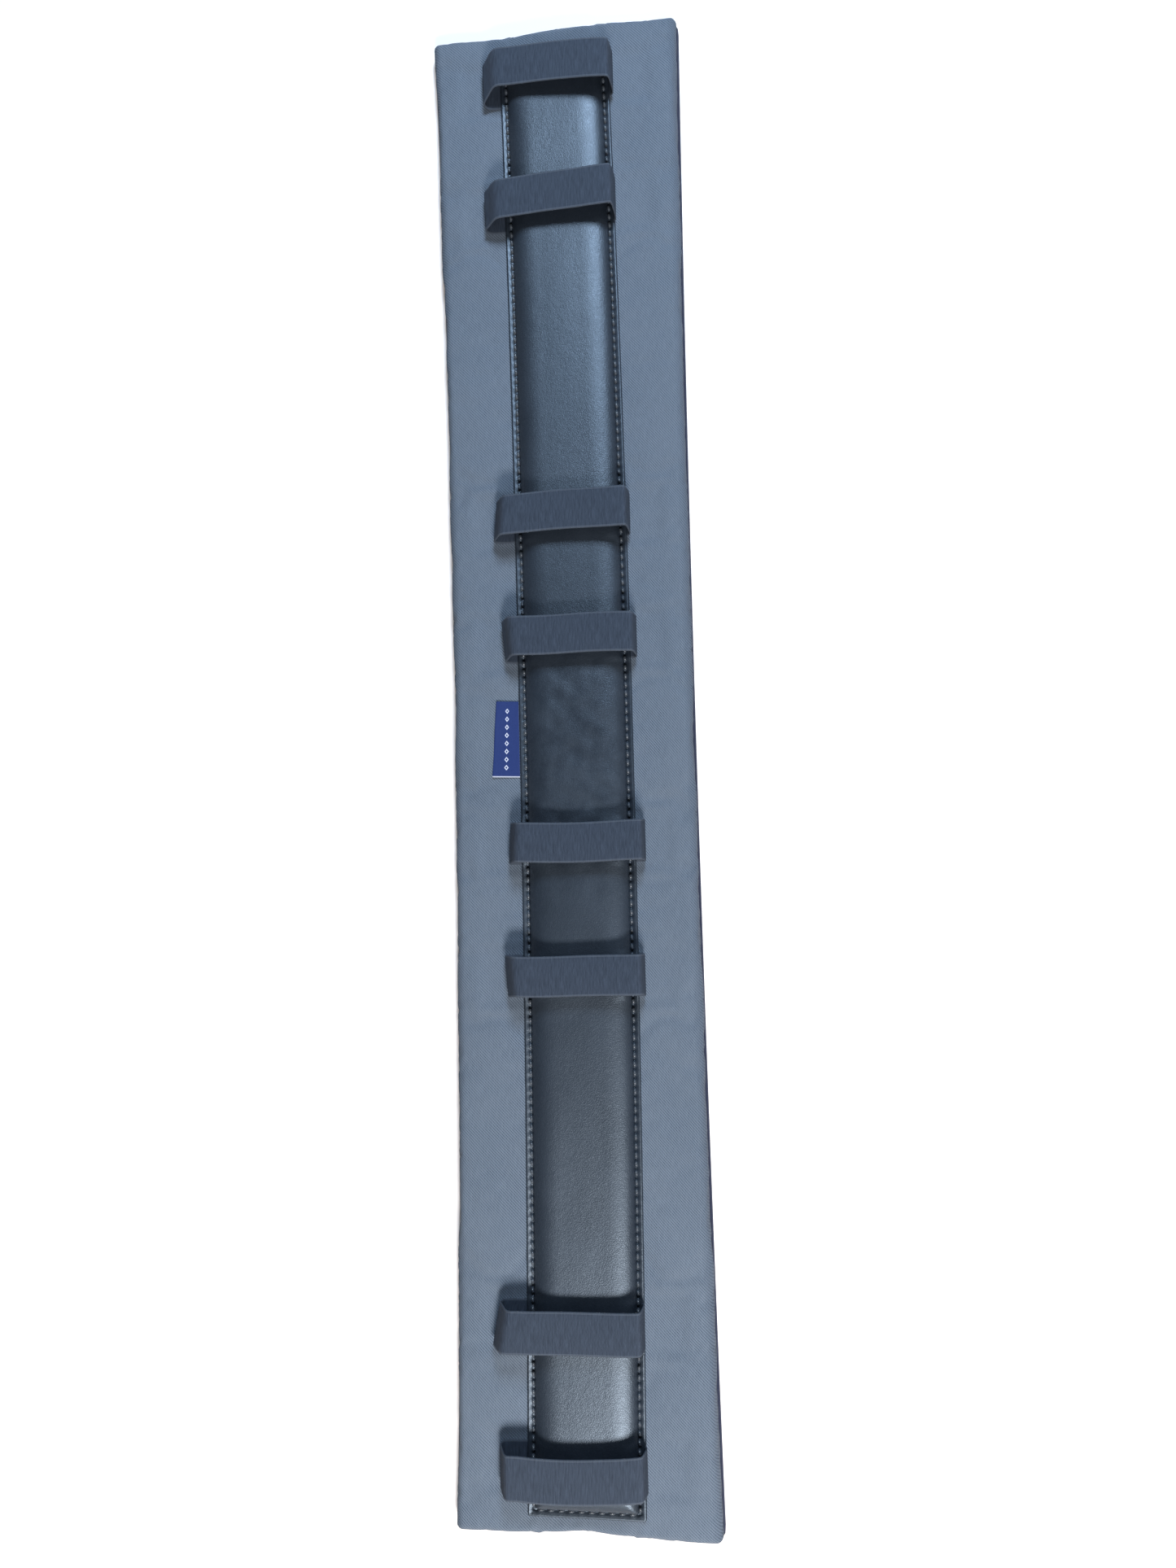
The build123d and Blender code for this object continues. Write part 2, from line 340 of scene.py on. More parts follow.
def label_weave(length, width):
    """A plain blue damask label: fine rows, a pale hem at its -Y end and a chain of small lozenges."""
    dark_blue = (0.008, 0.020, 0.095, 1)
    blue = (0.016, 0.040, 0.17, 1)
    pale = (0.50, 0.52, 0.62, 1)
    hem_colour = (0.42, 0.44, 0.52, 1)
    hem_width = 0.7 * MM
    pitch = 5 * MM
    outer_reach = 1.7 * MM
    inner_reach = 0.8 * MM
    bare_end = 4.5 * MM
    shade = Shading("label_weave", Roughness=0.75, Specular_IOR_Level=0.3)
    place = shade.node("SeparateXYZ", {0: shade.node("UVMap", uv_map="cloth").outputs[0]})
    across, along = place.outputs[0], place.outputs[1]
    rows = shade.math("ABSOLUTE", shade.math("SINE", shade.math("MULTIPLY", along, pi / (0.35 * MM))))
    fuzz = shade.noise(0.8 * MM, 0.5 * MM)
    ground = shade.mix(shade.math("MULTIPLY", fuzz, rows), dark_blue, blue)
    from_end = shade.math("SUBTRACT", length / 2, shade.math("ABSOLUTE", along))
    hem = shade.math("LESS_THAN", shade.math("ADD", along, length / 2), hem_width)
    cell = shade.math("PINGPONG", along, pitch / 2)
    off = shade.math("ABSOLUTE", shade.math("SUBTRACT", across, width * 0.5))
    reach = shade.math("ADD", shade.math("MULTIPLY", off, 1.3), shade.math("SUBTRACT", pitch / 2, cell))
    lozenge = shade.math("LESS_THAN", reach, outer_reach)
    hole = shade.math("LESS_THAN", reach, inner_reach)
    outline = shade.math("SUBTRACT", lozenge, hole)
    figure = shade.math("MULTIPLY", outline, shade.math("GREATER_THAN", from_end, bare_end))
    shade.colour(shade.mix(hem, shade.mix(figure, ground, pale), hem_colour))
    shade.bump((rows, 0.5, 0.08 * MM), (figure, 0.5, 0.12 * MM))
    return shade.material


def floor_surface():
    shade = Shading("pale_floor", Roughness=0.8)
    place = shade.node("TexCoord").outputs["Object"]
    mottle = shade.node("TexNoise", {"Vector": place, "Scale": 2.0, "Detail": 4.0}).outputs["Fac"]
    shade.colour(shade.mix(mottle, (0.94, 0.86, 0.81, 1), (0.97, 0.89, 0.84, 1)))
    return shade.material


# ---------------------------------------------------------------- meshes that run the whole length


def stations(stops, step):
    """Places from the first stop to the last, about a step apart, with one at every stop."""
    places = [stops[0]]
    for a, b in zip(stops, stops[1:]):
        count = max(1, round((b - a) / step))
        places += [a + (b - a) * i / count for i in range(1, count + 1)]
    return places


def lines_across(half, edge, step, stops=()):
    """Grid lines from -half to half: at the edge's own distances, then about a step apart."""
    inner = stations([-half + edge[-1], *sorted(stops), half - edge[-1]], step)
    return np.array([-half + d for d in edge[:-1]] + inner + [half - d for d in reversed(edge[:-1])])


def grid(columns, rows):
    """The four-sided faces of a grid of points, and the points of its rim in order."""
    cells = np.arange(columns * rows).reshape(columns, rows)
    quads = np.stack([cells[:-1, :-1], cells[1:, :-1], cells[1:, 1:], cells[:-1, 1:]], -1)
    rim = np.concatenate([cells[:-1, 0], cells[-1, :-1], cells[:0:-1, -1], cells[0, :0:-1]])
    return quads.reshape(-1, 4), rim


class Arrays:
    """A mesh as arrays: points, cloth coordinates, and a list of blocks of four-sided faces."""

    def __init__(self, points, cloth, faces):
        self.points = points
        self.cloth = cloth
        self.faces = faces

    def all_faces(self):
        return np.vstack(self.faces)

    def normals(self):
        faces = self.all_faces()
        p = self.points[faces]
        face_normals = np.cross(p[:, 2] - p[:, 0], p[:, 3] - p[:, 1])
        total = np.zeros_like(self.points)
        for corner in range(4):
            np.add.at(total, faces[:, corner], face_normals)
        return total / np.maximum(np.linalg.norm(total, axis=1), 1e-12)[:, None]

    def settled(self, wavy_ends=False):
        """Moves the straight design into the pad's real outline."""
        self.points[:, 0] = settle(self.points[:, 0], self.points[:, 1])
        if wavy_ends:
            self.points[:, 1] += end_waver(self.points[:, 0], self.points[:, 1])
        return self


class Layer(Arrays):
    """A grid over a long rectangle with rounded corners.

    x and y are places on the straight design, and depth is how far in from the edge they are.
    """

    def __init__(self, half_x, half_y, corner, edge, step_x, step_y):
        lines_x = lines_across(half_x, edge, step_x)
        lines_y = lines_across(half_y, edge, step_y, CUTS)
        x, y = (a.ravel() for a in np.meshgrid(lines_x, lines_y, indexing="ij"))
        middle_x, middle_y = half_x - corner, half_y - corner
        a = np.clip((np.abs(x) - middle_x) / corner, 0, 1)
        b = np.clip((np.abs(y) - middle_y) / corner, 0, 1)
        round_a, round_b = a * np.sqrt(1 - b * b / 2), b * np.sqrt(1 - a * a / 2)
        turned = (a > 0) & (b > 0)
        self.x = np.where(turned, np.sign(x) * (middle_x + corner * round_a), x)
        self.y = np.where(turned, np.sign(y) * (middle_y + corner * round_b), y)
        straight = np.minimum(half_x - np.abs(x), half_y - np.abs(y))
        self.depth = np.where(turned, corner * (1 - np.hypot(round_a, round_b)), straight)
        out = np.stack([np.sign(x) * np.maximum(np.abs(self.x) - middle_x, 0),
                        np.sign(y) * np.maximum(np.abs(self.y) - middle_y, 0)], 1)
        self.out = out / np.maximum(np.hypot(*out.T), 1e-9)[:, None]
        self.quads, self.rim = grid(len(lines_x), len(lines_y))

    def skin(self, height, rings):
        """The top surface and its wall. Each ring is (how far out from the edge, z)."""
        self.points = np.stack([self.x, self.y, height], 1)
        self.cloth = np.stack([self.x, self.y], 1)
        self.faces = [self.quads]
        loop = self.rim
        last_out, last_z = 0.0, self.points[loop, 2].mean()
        run = 0.0
        for out, z in rings:
            start = len(self.points)
            ring = np.zeros((len(self.rim), 3))
            ring[:, :2] = self.points[self.rim, :2] + self.out[self.rim] * out
            ring[:, 2] = z
            run += np.hypot(out - last_out, z - last_z)
            last_out, last_z = out, z
            self.points = np.vstack([self.points, ring])
            self.cloth = np.vstack([self.cloth, self.cloth[self.rim] + self.out[self.rim] * run])
            new = np.arange(start, start + len(self.rim))
            self.faces.append(np.stack([loop, new, np.roll(new, -1), np.roll(loop, -1)], 1))
            loop = new
        self.last = loop
        return self

    def close(self, height):
        """A flat or shaped underside that closes the layer into a solid."""
        start = len(self.points)
        under = np.stack([self.x, self.y, np.broadcast_to(height, self.x.shape)], 1)
        self.points = np.vstack([self.points, under])
        self.cloth = np.vstack([self.cloth, np.stack([self.x, self.y], 1)])
        index = np.arange(start, start + len(self.x))
        index[self.rim] = self.last
        self.faces.append(index[self.quads][:, ::-1])
        return self

    def line_inside(self, thick):
        """Turns a skin into cloth of this thickness: a second skin inside, joined along the last ring."""
        count = len(self.points)
        faces = self.all_faces()
        inner = self.points - self.normals() * thick
        self.points = np.vstack([self.points, inner])
        self.cloth = np.vstack([self.cloth, self.cloth])
        end = self.last
        rim = np.stack([end, end + count, np.roll(end, -1) + count, np.roll(end, -1)], 1)
        self.faces = [faces, faces[:, ::-1] + count, rim]
        return self


def end_waver(x, y):
    """The pad's ends aren't sewn straight: the +Y end bellies out and the -Y end is pulled in."""
    near_end = smoothstep(np.abs(y), CHANNEL_END - 20 * MM, HALF_LENGTH)
    far_end = 1.1 * MM * np.cos(pi / 2 * x / HALF_WIDTH) + 0.9 * MM * np.sin((x + 9 * MM) / (17.5 * MM))
    near_notch = 2.6 * MM * np.exp(-(((x + 1 * MM) / (18 * MM)) ** 2))
    return near_end * np.where(y > 0, far_end, near_notch)


def plain_object(name, points, faces):
    """A mesh object in the scene, with no material."""
    made = bpy.data.objects.new(name, bpy.data.meshes.new(name))
    made.data.from_pydata(points.tolist(), [], faces.tolist())
    bpy.context.scene.collection.objects.link(made)
    return made


def object_of(name, points, faces, cloth, normals, material):
    """A mesh object with smooth normals, cloth coordinates and closed ends."""
    made = plain_object(name, points, faces)
    mesh = made.data
    shape = bmesh.new()
    shape.from_mesh(mesh)
    open_edges = [edge for edge in shape.edges if edge.is_boundary]
    bmesh.ops.holes_fill(shape, edges=open_edges)
    shape.to_mesh(mesh)
    shape.free()
    corners = np.zeros(len(mesh.loops), int)
    mesh.loops.foreach_get("vertex_index", corners)
    layer = mesh.uv_layers.new(name="cloth")
    layer.data.foreach_set("uv", cloth[corners].astype(np.float32).ravel())
    mesh.polygons.foreach_set("use_smooth", [True] * len(mesh.polygons))
    of_corners = normals[corners]
    # The faces that fill the cut ends are flat.
    for polygon in list(mesh.polygons)[len(faces):]:
        of_corners[list(polygon.loop_indices)] = polygon.normal[:]
    mesh.normals_split_custom_set(of_corners.tolist())
    mesh.materials.append(material)
    return made


def bending_pieces(name, layer, material, node, group_y=None):
    """Cuts a full-length layer in the middle of each bay into one piece for each joint, and hides the
    frame's parts it stands in for.

    A face belongs to the piece where its middle lies, or the y given for it in group_y.
    """
    points, faces, normals = layer.points, layer.all_faces(), layer.normals()
    where = points[faces][:, :, 1].mean(1) if group_y is None else group_y
    ends = [HALF_LENGTH * 2, *CUTS, -HALF_LENGTH * 2]
    pieces = []
    for number, y in enumerate(BEND_Y, start=1):
        chosen = faces[(where < ends[number - 1]) & (where > ends[number])]
        used = np.unique(chosen)
        place = np.zeros(len(points), int)
        place[used] = np.arange(len(used))
        piece = object_of(f"{name}_{number}", points[used], place[chosen], layer.cloth[used], normals[used],
                          material)
        nodes = [f"{node}_{number}"]
        if number == len(BENDS):
            nodes.append(f"{node}_{number + 1}")
        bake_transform(piece)
        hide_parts(*nodes)
        pieces.append(piece)
    return pieces


def edge_steps(radius, count):
    """Distances in from the edge that follow a quarter round of this radius."""
    return [radius * (1 - np.cos(pi / 2 * i / count)) for i in range(count + 1)]


def quarter_round(depth, radius):
    """How far a rounded edge of this radius falls at a depth in from the edge."""
    t = 1 - np.clip(depth, 0, radius) / radius
    return radius * (1 - np.sqrt(1 - t * t))


# ---------------------------------------------------------------- the pad

LINING_LIP = 0.8 * MM
COVER_THICK = 0.8 * MM
COVER_SKIN = 0.72 * MM  # thickness of the cover's mesh, which leaves the foam a little air
CORNER = 4 * MM
EDGE_ROUND = 5 * MM
COVER_PIN_DEPTH = 4 * MM  # the cover is held by the channel's seams this far in from its edge


def free_of_sewing(x, y):
    """1 on the open cloth, and 0 beside the channel where a keeper or the label lies on it."""
    nearest = np.min([np.abs(y - keeper) for keeper in KEEPERS.values()], axis=0) - TAPE_HALF
    beside_label = np.where(x < 0, np.abs(y - LABEL_Y) - LABEL_HALF, 1.0)
    open_y = smoothstep(np.minimum(nearest, beside_label), 0.5 * MM, 9 * MM)
    return np.maximum(open_y, smoothstep(np.abs(x), 56 * MM, 66 * MM))


def margin_swell(x, y):
    """1 in the middle of the cloth between the channel and the pad's edge, 0 at both."""
    beside = np.clip((np.abs(x) - CHANNEL_HALF) / (HALF_WIDTH - CHANNEL_HALF), 0, 1)
    beyond = np.clip((np.abs(y) - CHANNEL_END) / (HALF_LENGTH - CHANNEL_END), 0, 1)
    return np.sin(pi * beside) * (1 - beyond) ** 2


def swell(layer, pinned, pressure, most):
    """Cloth simulation: the cover fills out between its seams. No point moves more than most."""
    cloth = plain_object("swelling", layer.points, layer.all_faces())
    mesh = cloth.data
    scene = bpy.context.scene
    seams = cloth.vertex_groups.new(name="seams")
    seams.add(np.flatnonzero(pinned).tolist(), 1.0, "REPLACE")
    modifier = cloth.modifiers.new("cloth", "CLOTH")
    settings = modifier.settings
    settings.vertex_group_mass = "seams"
    settings.quality = 5
    settings.mass = 0.3
    settings.tension_stiffness = 20
    settings.compression_stiffness = 12
    settings.shear_stiffness = 6
    settings.bending_stiffness = 0.4
    settings.air_damping = 4
    settings.use_pressure = True
    settings.uniform_pressure_force = pressure
    settings.effector_weights.gravity = 0
    settings.shrink_min = -0.012  # the cloth is cut a little full
    modifier.collision_settings.use_collision = False
    frames = 16
    modifier.point_cache.frame_start = 1
    modifier.point_cache.frame_end = frames
    for number in range(1, frames + 1):
        scene.frame_set(number)
    done = cloth.evaluated_get(bpy.context.evaluated_depsgraph_get()).to_mesh()
    after = np.zeros(len(done.vertices) * 3)
    done.vertices.foreach_get("co", after)
    move = after.reshape(-1, 3) - layer.points
    length = np.maximum(np.linalg.norm(move, axis=1), 1e-9)
    share = most / length * np.tanh(length / most) * free_of_sewing(*layer.points.T[:2])
    layer.points = layer.points + move * share[:, None]
    bpy.data.objects.remove(cloth)
    bpy.data.meshes.remove(mesh)
    scene.frame_set(1)


def make_cover(material):
    layer = Layer(HALF_WIDTH - LINING_LIP, HALF_LENGTH - LINING_LIP, CORNER, edge_steps(EDGE_ROUND, 6),
                  2.4 * MM, 2.4 * MM)
    fullness = 0.4 * MM * free_of_sewing(layer.x, layer.y) * margin_swell(layer.x, layer.y)
    height = PAD_TOP - quarter_round(layer.depth, EDGE_ROUND) + fullness
    wall = PAD_TOP - EDGE_ROUND
    drop = wall - LINING_TOP
    rings = [(0.1 * MM, wall - drop * 0.25), (0.1 * MM, wall - drop * 0.5), (-0.1 * MM, wall - drop * 0.75),
             (-0.6 * MM, LINING_TOP + 0.1 * MM)]
    layer.skin(height, rings)
    under_channel = (np.abs(layer.points[:, 0]) < CHANNEL_HALF - COVER_PIN_DEPTH) & (
        np.abs(layer.points[:, 1]) < CHANNEL_END - COVER_PIN_DEPTH)
    pinned = under_channel & (layer.points[:, 2] > PAD_TOP - 1 * MM)
    pinned[layer.last] = True
    swell(layer, pinned, pressure=1.2, most=0.9 * MM)
    x, y, z = layer.points.T
    free = smoothstep(z, LINING_TOP, PAD_TOP - 2 * MM) * ~pinned * free_of_sewing(x, y)
    seam = 1 - smoothstep(z, LINING_TOP, PAD_TOP)
    around = np.where(np.abs(x) > HALF_WIDTH - 3 * MM, y, x)
    drift = 2 * ripples(x, y, 40 * MM)
    gathers = np.sin(around / (1.5 * MM) + drift) * ripples(x, y, 90 * MM)
    layer.points += layer.normals() * (gathers * seam * 0.10 * MM)[:, None]
    layer.points[:, 2] += free * (0.28 * MM * ripples(x, y, 55 * MM) + 0.10 * MM * ripples(x, y, 14 * MM))
    layer.points[:, 2] += free * creases(x, y)
    layer.line_inside(COVER_SKIN).settled(wavy_ends=True)
    for piece in bending_pieces("cover", layer, material, "top_cover"):
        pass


def creases(x, y):
    """A few soft creases that run out from the channel's seam."""
    # x, y, angle in degrees, length and depth, in mm
    marks = (
        (-58, 30, 20, 16, 0.5),
        (-52, 46, 28, 14, 0.4),
        (-60, 62, 12, 12, 0.35),
        (-55, 165, -15, 14, 0.3),
        (57, 90, -18, 14, 0.3),
        (60, -60, 14, 16, 0.3),
        (-58, -210, 10, 14, 0.25),
        (62, -330, -12, 18, 0.25),
    )
    total = np.zeros_like(x)
    for mark_x, mark_y, angle, length, depth in marks:
        a = radians(angle)
        along = (x - mark_x * MM) * np.cos(a) + (y - mark_y * MM) * np.sin(a)
        over = -(x - mark_x * MM) * np.sin(a) + (y - mark_y * MM) * np.cos(a)
        fall = np.exp(-((along / (length * MM)) ** 2))
        ridge = np.exp(-((over / (3.2 * MM)) ** 2))
        hollow = np.exp(-(((over - 5 * MM) / (3.5 * MM)) ** 2))
        total += depth * MM * fall * (ridge - 0.6 * hollow)
    return total


def make_lining(material):
    layer = Layer(HALF_WIDTH, HALF_LENGTH, CORNER + LINING_LIP, [0, 0.25 * MM, 0.7 * MM, 1.4 * MM, 2.2 * MM],
                  5 * MM, 5 * MM)
    rolled = 0.7 * MM * np.exp(-((layer.depth / (1.1 * MM)) ** 2))
    height = LINING_TOP + rolled - quarter_round(layer.depth, 0.7 * MM)
    layer.skin(height, [(0.45 * MM, LINING_TOP * 0.8), (0.45 * MM, LINING_TOP * 0.4), (0, 0.0)])
    layer.close(0.0).settled(wavy_ends=True)
    pieces = bending_pieces("lining", layer, material, "underside_lining")


def make_foam(material):
    inset = LINING_LIP + COVER_THICK + 0.2 * MM
    radius = EDGE_ROUND - COVER_THICK
    layer = Layer(HALF_WIDTH - inset, HALF_LENGTH - inset, CORNER - COVER_THICK, edge_steps(radius, 4),
                  8 * MM, 5 * MM)
    top = PAD_TOP - COVER_THICK - 1.2 * MM
    low = LINING_TOP + 0.1 * MM
    layer.skin(top - quarter_round(layer.depth, radius), [(0, LINING_TOP + 2 * MM), (0, low)])
    layer.close(low).settled(wavy_ends=True)
    for piece in bending_pieces("foam", layer, material, "foam_core"):
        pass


# ---------------------------------------------------------------- the leather channel

LEATHER_THICK = 1.0 * MM
STITCH_PITCH = 5.3 * MM
END_PITCH = 6.0 * MM
SIDE_INSET = 3.6 * MM
END_INSET = 4.0 * MM
CROWN_FOOT = 4.3 * MM  # the crown rises right behind the stitches
CROWN_RUN = 19 * MM  # from the crown's foot to its flat top
LIP_RISE = 0.25 * MM  # the folded edge stands up, and slopes down to the stitches
SEAM_SINK = 0.60 * MM
SEAM_X = CHANNEL_HALF - SIDE_INSET
SEAM_Y = CHANNEL_END - END_INSET
LIP_WIDTH = 0.7 * MM
TAPE_RISE = 0.45 * MM  # how far the leather rides up over a keeper's sewn tape
BEAD_RADIUS = 0.90 * MM


def channel_height(depth):
    """The leather's top surface over a depth in from its edge."""
    rise = np.clip((depth - CROWN_FOOT) / CROWN_RUN, 0, 1)
    crown = (1 - (1 - rise) ** 2.8) ** (1 / 1.7)  # a superellipse: steep at its foot and flat on top
    slope = np.clip((depth - LIP_WIDTH) / (SIDE_INSET - LIP_WIDTH), 0, 1)
    lip = LIP_RISE - (LIP_RISE + SEAM_SINK) * slope
    flange = FLANGE_TOP + lip - quarter_round(depth, 1.0 * MM)
    return flange + (CROWN_TOP - FLANGE_TOP + SEAM_SINK) * crown


def over_tape(y, depth):
    """1 where the leather rides up over a keeper's sewn tape."""
    nearest = np.min([np.abs(y - keeper) for keeper in KEEPERS.values()], axis=0)
    return (1 - smoothstep(nearest, TAPE_HALF - 1 * MM, TAPE_HALF + 3.5 * MM)) * (
        1 - smoothstep(depth, 7 * MM, 16 * MM))


def stitch_places():
    """Middle and direction of every stitch on the straight design, with its length."""
    side_count = int(2 * SEAM_Y / STITCH_PITCH)
    places = []
    for side in (-1, 1):
        for y in (np.arange(side_count) - (side_count - 1) / 2) * STITCH_PITCH:
            places.append((side * SEAM_X, y, pi / 2, STITCH_PITCH))
    end_count = int(2 * SEAM_X / END_PITCH)
    for end in (-1, 1):
        for x in (np.arange(end_count) - (end_count - 1) / 2) * END_PITCH:
            places.append((x, end * SEAM_Y, 0.0, END_PITCH))
    return np.array(places)


def seam_dents(x, y):
    """The leather is pulled down at each needle hole, and puffs up beside each stitch."""
    dent = np.zeros_like(x)
    for off, along, pitch, length in (
        (np.abs(x) - SEAM_X, y, STITCH_PITCH, SEAM_Y),
        (np.abs(y) - SEAM_Y, x, END_PITCH, SEAM_X),
    ):
        even = int(2 * length / pitch) % 2 == 0
        phase = np.cos(2 * pi * (along / pitch + (0.5 if even else 0.0)))
        inside = 1 - smoothstep(np.abs(along), length, length + 1 * MM)
        holes = np.exp(-((off / (0.9 * MM)) ** 2)) * np.clip(-phase, 0, 1) ** 1.5
        puffs = np.exp(-(((np.abs(off) - 1.6 * MM) / (0.8 * MM)) ** 2)) * np.clip(phase, 0, 1)
        dent += inside * (1.0 * MM * holes - 0.14 * MM * puffs)
    return dent


def leather_top(x, y, depth):
    """The finished surface of the leather, with its dents, creases and unevenness."""
    on_crown = smoothstep(depth, CROWN_FOOT + 2 * MM, CROWN_FOOT + CROWN_RUN)
    height = channel_height(depth) - seam_dents(x, y) + TAPE_RISE * over_tape(y, depth)
    across = x / (CHANNEL_HALF - CROWN_FOOT - CROWN_RUN)
    height += on_crown * 0.08 * MM * (1 - np.clip(across**2, 0, 1))
    return height + leather_waves(x, y, on_crown)


def fixed_waves(seed):
    """A set of random waves that is the same at every call, each as (angle, phase, stretch)."""
    draw = np.random.default_rng(seed).uniform
    return [(draw(0, pi), draw(0, 2 * pi), draw(0.7, 1.5)) for _ in range(WAVES_IN_A_SET)]


def leather_waves(x, y, on_crown):
    """The leather's unevenness. The waves are fixed, so that the filler meets the same surface."""
    total = np.zeros_like(x)
    slack = 1 - smoothstep(np.abs(y), SLACK_HALF - 20 * MM, SLACK_HALF)
    for seed, size, depth in (
        (3, 80 * MM, 0.12 * MM),
        (4, 30 * MM, 0.04 * MM + 0.05 * MM * slack),
        (5, 13 * MM, 0.012 * MM + 0.12 * MM * slack),
    ):
        for angle, phase, stretch in fixed_waves(seed):
            pull = 2 * pi / (size * stretch)
            total += depth / 3.2 * np.sin(pull * (x * np.cos(angle) + 0.7 * y * np.sin(angle)) + phase)
    return total * (0.25 + 0.75 * on_crown)


def make_leather(material):
    # Grid lines in from the edge: closest at the stitches, and wider apart up the crown.
    at_seam = [1.5, 2.1, 2.6, 3.0, 3.4, 3.8, 4.2, 4.7, 5.3]
    up_crown = [6.0, 6.9, 8.0, 9.3, 10.8]
    edge = edge_steps(1.0 * MM, 3) + [depth * MM for depth in at_seam + up_crown]
    layer = Layer(CHANNEL_HALF, CHANNEL_END, 1.5 * MM, edge, 1.8 * MM, STITCH_PITCH / 6)
    low = PAD_TOP + 0.03 * MM
    folded_under = [(-0.25 * MM, low + 0.3 * MM), (-0.9 * MM, low), (-5.5 * MM, low)]
    rings = [(0.1 * MM, FLANGE_TOP - 1.5 * MM), *folded_under]
    layer.skin(leather_top(layer.x, layer.y, layer.depth), rings)
    layer.line_inside(LEATHER_THICK).settled()
    for piece in bending_pieces("channel", layer, material, "leather_channel"):
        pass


def make_filler(material):
    inset = 7 * MM
    edge = [0, 1 * MM, 2.5 * MM, 5 * MM]
    layer = Layer(CHANNEL_HALF - inset, CHANNEL_END - inset, 3 * MM, edge, 4 * MM, 5 * MM)
    depth = layer.depth + inset
    low = PAD_TOP + 0.06 * MM
    height = leather_top(layer.x, layer.y, depth) - LEATHER_THICK - 0.3 * MM
    height = np.minimum(height, low + 0.4 * MM + layer.depth * 1.2)
    layer.skin(height, [(0, low)])
    layer.close(low).settled()
    for piece in bending_pieces("filler", layer, material, "channel_filler"):
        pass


class Beads(Arrays):
    """Every stitch as its own arched bead of twisted thread, in one set of arrays."""

    def __init__(self, places):
        around = 7
        along = 9
        angle = np.arange(around) * 2 * pi / around
        points, cloth, faces = [], [], []
        group = []  # the y of each face's stitch, so that a cut never splits a stitch
        for number, (x, y, turn, pitch) in enumerate(places):
            t = np.linspace(-1, 1, along)
            run = t * pitch * 0.34
            slant = radians(7) * chance.uniform(0.6, 1.4)
            radius = BEAD_RADIUS * np.sqrt(np.clip(1 - (t * 0.93) ** 4, 0.05, 1))
            lift = 0.45 * MM * (1 - t**2) - 0.55 * MM * t**6
            depth = min(CHANNEL_HALF - abs(x), CHANNEL_END - abs(y))
            base = FLANGE_TOP - SEAM_SINK + TAPE_RISE * float(over_tape(np.array(y), np.array(depth)))
            dx, dy = np.cos(turn + slant), np.sin(turn + slant)
            ring = np.zeros((along, around, 3))
            ring[..., 0] = x + run[:, None] * dx - dy * radius[:, None] * np.cos(angle)
            ring[..., 1] = y + run[:, None] * dy + dx * radius[:, None] * np.cos(angle)
            ring[..., 2] = base + lift[:, None] + radius[:, None] * np.sin(angle)
            start = number * along * around
            points.append(ring.reshape(-1, 3))
            cloth.append(np.stack(np.meshgrid(run, angle * 0.5 * MM, indexing="ij"), -1).reshape(-1, 2))
            cells = start + np.arange(along * around).reshape(along, around)
            side = np.roll(cells, -1, 1)
            faces.append(np.stack([cells[:-1], side[:-1], side[1:], cells[1:]], -1).reshape(-1, 4)[:, ::-1])
            group += [y] * ((along - 1) * around)
        super().__init__(np.vstack(points), np.vstack(cloth), faces)
        self.group = np.array(group)


def make_stitches(material):
    beads = Beads(stitch_places()).settled()
    bending_pieces("stitches", beads, material, "channel_thread", beads.group)


# ---------------------------------------------------------------- the keepers

TAPE_THICK = 0.9 * MM
FOOT = PAD_TOP + 0.62 * MM  # middle of the tape where it lies on the cover
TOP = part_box("keeper_loop_1")[1].z - TAPE_THICK / 2

# Each keeper was sewn by hand and stands its own way. Lengths are in mm from the channel's middle line.
# left_far and left_near: how far the slack side reaches, at the tape's +Y and -Y rims
# right: how far the tight side reaches; shoulder: how wide the slack side's slope is
# left_up and right_up: how much higher than usual each end of the top stands
# lean: how far the top is pushed towards +Y; skew: its turn seen from above, in degrees
# sag: how far the middle of the top hangs towards -Y; neck: how much narrower the stretched tape is
KEEPER_WAYS = {
    1: dict(left_far=-45.3, left_near=-44.8, right=37.6, shoulder=11.0, left_up=-2.2, right_up=1.6,
            lean=5.4, skew=-4.9, sag=0.8, neck=0.0),
    2: dict(left_far=-47.0, left_near=-46.5, right=35.8, shoulder=10.5, left_up=-1.6, right_up=1.5,
            lean=3.7, skew=0.8, sag=0.8, neck=0.0),
    3: dict(left_far=-45.0, left_near=-47.2, right=37.2, shoulder=7.0, left_up=-0.4, right_up=0.4,
            lean=1.9, skew=0.6, sag=0.0, neck=0.03),
    4: dict(left_far=-43.7, left_near=-41.6, right=38.9, shoulder=7.5, left_up=0.0, right_up=0.2,
            lean=1.6, skew=-1.1, sag=0.0, neck=0.05),
    5: dict(left_far=-40.5, left_near=-41.8, right=40.8, shoulder=6.5, left_up=0.2, right_up=-0.2,
            lean=0.2, skew=-0.5, sag=0.4, neck=0.06),
    6: dict(left_far=-45.2, left_near=-43.5, right=38.9, shoulder=7.5, left_up=0.3, right_up=0.2,
            lean=0.8, skew=0.0, sag=0.0, neck=0.06),
    7: dict(left_far=-50.0, left_near=-54.6, right=35.0, shoulder=7.0, left_up=0.0, right_up=0.3,
            lean=-0.7, skew=0.5, sag=0.8, neck=0.03),
    8: dict(left_far=-50.3, left_near=-50.3, right=35.8, shoulder=5.5, left_up=0.0, right_up=0.8,
            lean=-0.8, skew=2.5, sag=1.6, neck=0.0),
}


